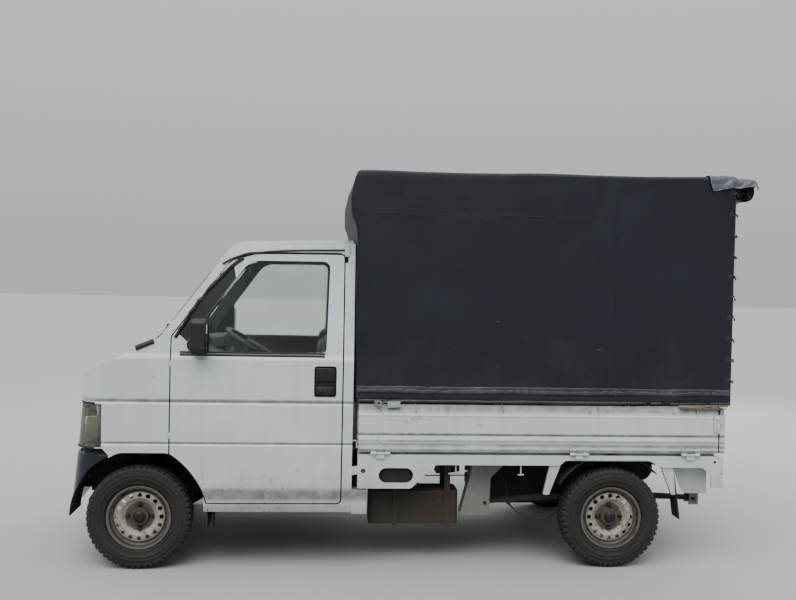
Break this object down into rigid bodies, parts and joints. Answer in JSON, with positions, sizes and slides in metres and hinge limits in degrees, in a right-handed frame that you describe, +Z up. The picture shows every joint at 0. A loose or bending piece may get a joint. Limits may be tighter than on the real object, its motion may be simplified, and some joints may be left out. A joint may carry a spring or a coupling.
{
  "type": "kei truck",
  "caption": "Small short-nosed truck with a two-seat cab, a drop-side bed and a dark canvas hood on a tube frame, rear curtain rolled up.",
  "frame": {"origin": "on the ground under the middle of the whole truck's box", "axes": "+X to the front, +Y to the truck's left, +Z up"},
  "size_m": [3.5282, 1.72, 2.0497],
  "materials": {
    "white_paint": "gloss, dirty low down",
    "bumper_plastic": "gloss",
    "dark_trim": "matt",
    "interior_plastic": "matt",
    "seat_fabric": "woven",
    "glass": "clear",
    "lamp_lens": "yellowed",
    "tail_lens": "gloss",
    "canvas": "coated, satin",
    "frame_steel": "satin",
    "hood_steel": "satin",
    "bare_steel": "dirty",
    "wheel_steel": "dull, rusty",
    "tyre_rubber": "dusty",
    "flap_rubber": "matt"
  },
  "bodies": {
    "chassis": {"roof": "white_paint", "side_frames": "white_paint", "fenders": "white_paint", "front_panel": "white_paint", "cowl": "dark_trim", "headlights": "lamp_lens", "cab_glass": "glass", "rear_wall": "white_paint", "cab_floor": "dark_trim", "front_bumper": "bumper_plastic", "dashboard": "interior_plastic", "seats": "seat_fabric", "load_bed": "white_paint", "tarpaulin": "canvas", "hood_posts": "hood_steel", "hood_bows": "hood_steel", "hood_rails": "hood_steel", "rear_curtain": "canvas", "frame_rails": "frame_steel", "cross_members": "frame_steel", "spring_hangers": "frame_steel", "tow_eyes": "frame_steel", "engine": "bare_steel", "fuel_tank": "bare_steel", "exhaust": "bare_steel", "rear_axle": "bare_steel", "leaf_springs": "bare_steel", "front_suspension": "bare_steel", "tail_lamps": "tail_lens", "mudflaps": "flap_rubber"},
    "front_lid": {"front_lid": "white_paint"},
    "steering_wheel": {"steering_wheel": "interior_plastic"},
    "tailgate": {"tailgate": "white_paint"},
    "left_door": {"left_door": "white_paint", "left_door_glass": "glass", "left_mirror": "dark_trim"},
    "left_gate": {"left_gate": "white_paint"},
    "left_knuckle": {"left_knuckle": "bare_steel"},
    "right_door": {"right_door": "white_paint", "right_door_glass": "glass", "right_mirror": "dark_trim"},
    "right_gate": {"right_gate": "white_paint"},
    "right_knuckle": {"right_knuckle": "bare_steel"},
    "front_left_wheel": {"front_left_rim": "wheel_steel", "front_left_tyre": "tyre_rubber"},
    "front_right_wheel": {"front_right_rim": "wheel_steel", "front_right_tyre": "tyre_rubber"},
    "rear_left_wheel": {"rear_left_rim": "wheel_steel", "rear_left_tyre": "tyre_rubber"},
    "rear_right_wheel": {"rear_right_rim": "wheel_steel", "rear_right_tyre": "tyre_rubber"}
  },
  "joints": [
    {"name": "left_steer", "type": "hinge", "parent": "chassis", "child": "left_knuckle", "pos_m": [1.37915, 0.59, 0.19], "axis": [0, -0.1961, 0.9806], "range_deg": [-35, 35]},
    {"name": "right_steer", "type": "hinge", "parent": "chassis", "child": "right_knuckle", "pos_m": [1.37915, -0.59, 0.19], "axis": [0, 0.1961, 0.9806], "range_deg": [-35, 35]},
    {"name": "front_left_spin", "type": "hinge", "parent": "left_knuckle", "child": "front_left_wheel", "pos_m": [1.37915, 0.645, 0.26], "axis": [0, 1, 0], "continuous": true},
    {"name": "front_right_spin", "type": "hinge", "parent": "right_knuckle", "child": "front_right_wheel", "pos_m": [1.37915, -0.645, 0.26], "axis": [0, 1, 0], "continuous": true},
    {"name": "rear_left_spin", "type": "hinge", "parent": "chassis", "child": "rear_left_wheel", "pos_m": [-1.04085, 0.645, 0.26], "axis": [0, 1, 0], "continuous": true},
    {"name": "rear_right_spin", "type": "hinge", "parent": "chassis", "child": "rear_right_wheel", "pos_m": [-1.04085, -0.645, 0.26], "axis": [0, 1, 0], "continuous": true},
    {"name": "steering_wheel_turn", "type": "hinge", "parent": "chassis", "child": "steering_wheel", "pos_m": [0.88915, -0.345, 1.075], "axis": [-0.53, 0, 0.848], "range_deg": [-600, 600]},
    {"name": "left_door_open", "type": "hinge", "parent": "chassis", "child": "left_door", "pos_m": [1.23415, 0.7365, 0.7], "axis": [0, 0, -1], "range_deg": [0, 65]},
    {"name": "right_door_open", "type": "hinge", "parent": "chassis", "child": "right_door", "pos_m": [1.23415, -0.7365, 0.7], "axis": [0, 0, 1], "range_deg": [0, 65]},
    {"name": "front_lid_open", "type": "hinge", "parent": "chassis", "child": "front_lid", "pos_m": [1.42515, 0, 1.102], "axis": [0, -1, 0], "range_deg": [0, 55]},
    {"name": "left_gate_drop", "type": "hinge", "parent": "chassis", "child": "left_gate", "pos_m": [-0.62085, 0.743, 0.598], "axis": [-1, 0, 0], "range_deg": [0, 170]},
    {"name": "right_gate_drop", "type": "hinge", "parent": "chassis", "child": "right_gate", "pos_m": [-0.62085, -0.743, 0.598], "axis": [1, 0, 0], "range_deg": [0, 170]},
    {"name": "tailgate_drop", "type": "hinge", "parent": "chassis", "child": "tailgate", "pos_m": [-1.63685, 0, 0.598], "axis": [0, -1, 0], "range_deg": [0, 170]}
  ],
  "couplings": [
    {"joint": "right_steer", "follows": "left_steer", "ratio": 1},
    {"joint": "steering_wheel_turn", "follows": "left_steer", "ratio": 17}
  ]
}
